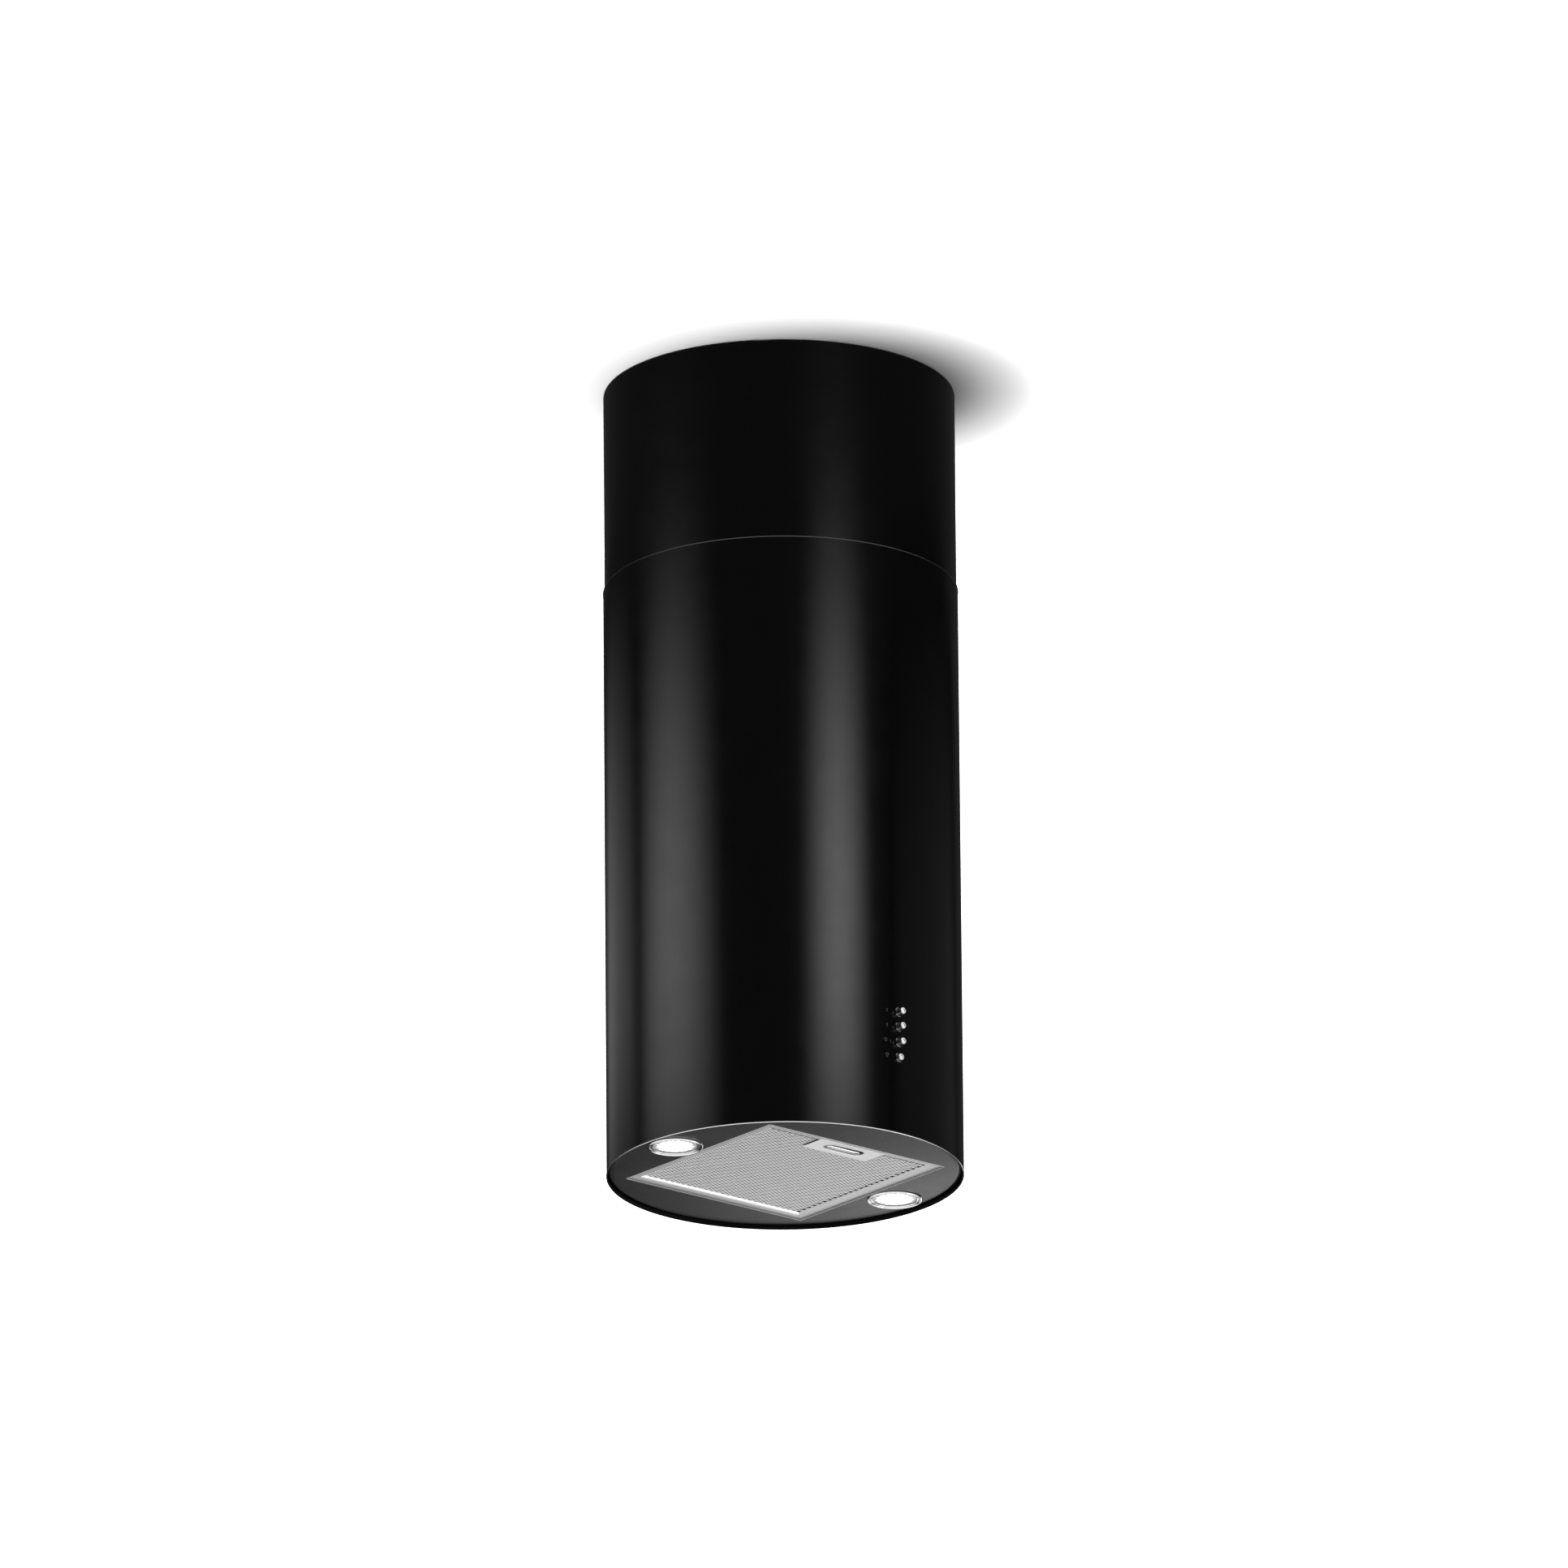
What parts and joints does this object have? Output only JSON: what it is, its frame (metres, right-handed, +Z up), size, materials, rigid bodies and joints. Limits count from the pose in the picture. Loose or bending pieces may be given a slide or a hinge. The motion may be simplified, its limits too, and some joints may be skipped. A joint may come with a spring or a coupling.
{
  "type": "island range hood",
  "caption": "Cylindrical island range hood with telescoping tubes, centrifugal blower, hinged square grease filter, recessed lamps and push buttons.",
  "frame": {"origin": "centre of the ceiling plate's top face, which is the centre of the ceiling bolts", "axes": "+Z up along the hood's axis, into the ceiling; -Y the front with the push buttons; +X to the right seen from the front"},
  "size_m": [0.43, 0.4393, 0.99],
  "materials": {
    "black_paint": "gloss black enamel",
    "grey_paint": "satin dark grey enamel",
    "zinc_steel": "zinc plated sheet steel",
    "bright_steel": "machined",
    "aluminium": "satin",
    "chrome": "polished",
    "lamp_glass": "clear",
    "black_plastic": "matte",
    "black_metal": "matte",
    "white_plastic": "matte",
    "copper": "varnished windings",
    "rubber": "matte"
  },
  "bodies": {
    "ceiling_mount": {"ceiling_plate": "zinc_steel", "upper_bar_rear_right": "zinc_steel", "upper_bar_rear_left": "zinc_steel", "upper_bar_front_left": "zinc_steel", "upper_bar_front_right": "zinc_steel", "upper_tie_frame": "zinc_steel", "upper_tube": "black_paint", "upper_tube_brackets": "zinc_steel", "upper_tube_screws": "bright_steel"},
    "hood_body": {"lower_tube": "black_paint", "lower_bar_rear_right": "zinc_steel", "lower_bar_rear_left": "zinc_steel", "lower_bar_front_left": "zinc_steel", "lower_bar_front_right": "zinc_steel", "clamp_screws": "bright_steel", "blower_plate": "zinc_steel", "lower_tube_brackets": "zinc_steel", "body_screws": "bright_steel", "outlet_collar": "zinc_steel", "flap_pin": "bright_steel", "control_box": "zinc_steel", "control_box_cover": "zinc_steel", "cable_gland": "black_plastic", "capacitor": "white_plastic", "led_driver": "white_plastic", "scroll_left": "zinc_steel", "scroll_right": "zinc_steel", "inlet_rings": "zinc_steel", "motor_can": "bright_steel", "motor_stator": "copper", "motor_bearings": "bright_steel", "motor_bracket": "zinc_steel", "motor_bushes": "rubber", "bottom_panel": "grey_paint", "panel_nuts": "bright_steel", "switch_block": "black_plastic", "switch_bracket": "zinc_steel", "button_bezels": "chrome", "lamp_bezel_left": "chrome", "lamp_bezel_right": "chrome", "lamp_lens_left": "lamp_glass", "lamp_lens_right": "lamp_glass", "lamp_reflector_left": "chrome", "lamp_reflector_right": "chrome", "lamp_housing_left": "black_metal", "lamp_housing_right": "black_metal", "lamp_clips": "bright_steel", "internal_leads": "black_plastic"},
    "impeller": {"impeller": "aluminium", "motor_shaft": "bright_steel"},
    "flap_left": {"flap_left": "aluminium"},
    "flap_right": {"flap_right": "aluminium"},
    "filter": {"filter_frame": "aluminium", "filter_mesh": "aluminium", "latch_plate": "aluminium"},
    "filter_latch": {"filter_latch": "chrome"},
    "button_light": {"button_light": "chrome"},
    "button_power": {"button_power": "chrome"},
    "button_two": {"button_two": "chrome"},
    "button_three": {"button_three": "chrome"}
  },
  "joints": [
    {"name": "height_slide", "type": "slide", "parent": "ceiling_mount", "child": "hood_body", "axis": [0, 0, -1], "range_m": [-0.18, 0.13]},
    {"name": "impeller_spin", "type": "hinge", "parent": "hood_body", "child": "impeller", "pos_m": [0, -0.049, -0.767], "axis": [1, 0, 0], "continuous": true},
    {"name": "flap_left_hinge", "type": "hinge", "parent": "hood_body", "child": "flap_left", "pos_m": [0, 0, -0.6], "axis": [0, 1, 0], "range_deg": [0, 75]},
    {"name": "flap_right_hinge", "type": "hinge", "parent": "hood_body", "child": "flap_right", "pos_m": [0, 0, -0.6], "axis": [0, -1, 0], "range_deg": [0, 75]},
    {"name": "filter_hinge", "type": "hinge", "parent": "hood_body", "child": "filter", "pos_m": [0, 0.131, -0.984], "axis": [1, 0, 0], "range_deg": [0, 65]},
    {"name": "latch_slide", "type": "slide", "parent": "filter", "child": "filter_latch", "axis": [0, 1, 0], "range_m": [0, 0.0032], "stiffness_N_per_m": 300, "springref_m": -0.003},
    {"name": "light_push", "type": "slide", "parent": "hood_body", "child": "button_light", "axis": [0, -1, 0], "range_m": [0, 0.0043]},
    {"name": "power_push", "type": "slide", "parent": "hood_body", "child": "button_power", "axis": [0, -1, 0], "range_m": [-0.0043, 0], "stiffness_N_per_m": 200, "springref_m": 0.002},
    {"name": "two_push", "type": "slide", "parent": "hood_body", "child": "button_two", "axis": [0, -1, 0], "range_m": [-0.0043, 0], "stiffness_N_per_m": 200, "springref_m": 0.002},
    {"name": "three_push", "type": "slide", "parent": "hood_body", "child": "button_three", "axis": [0, -1, 0], "range_m": [-0.0043, 0], "stiffness_N_per_m": 200, "springref_m": 0.002}
  ]
}
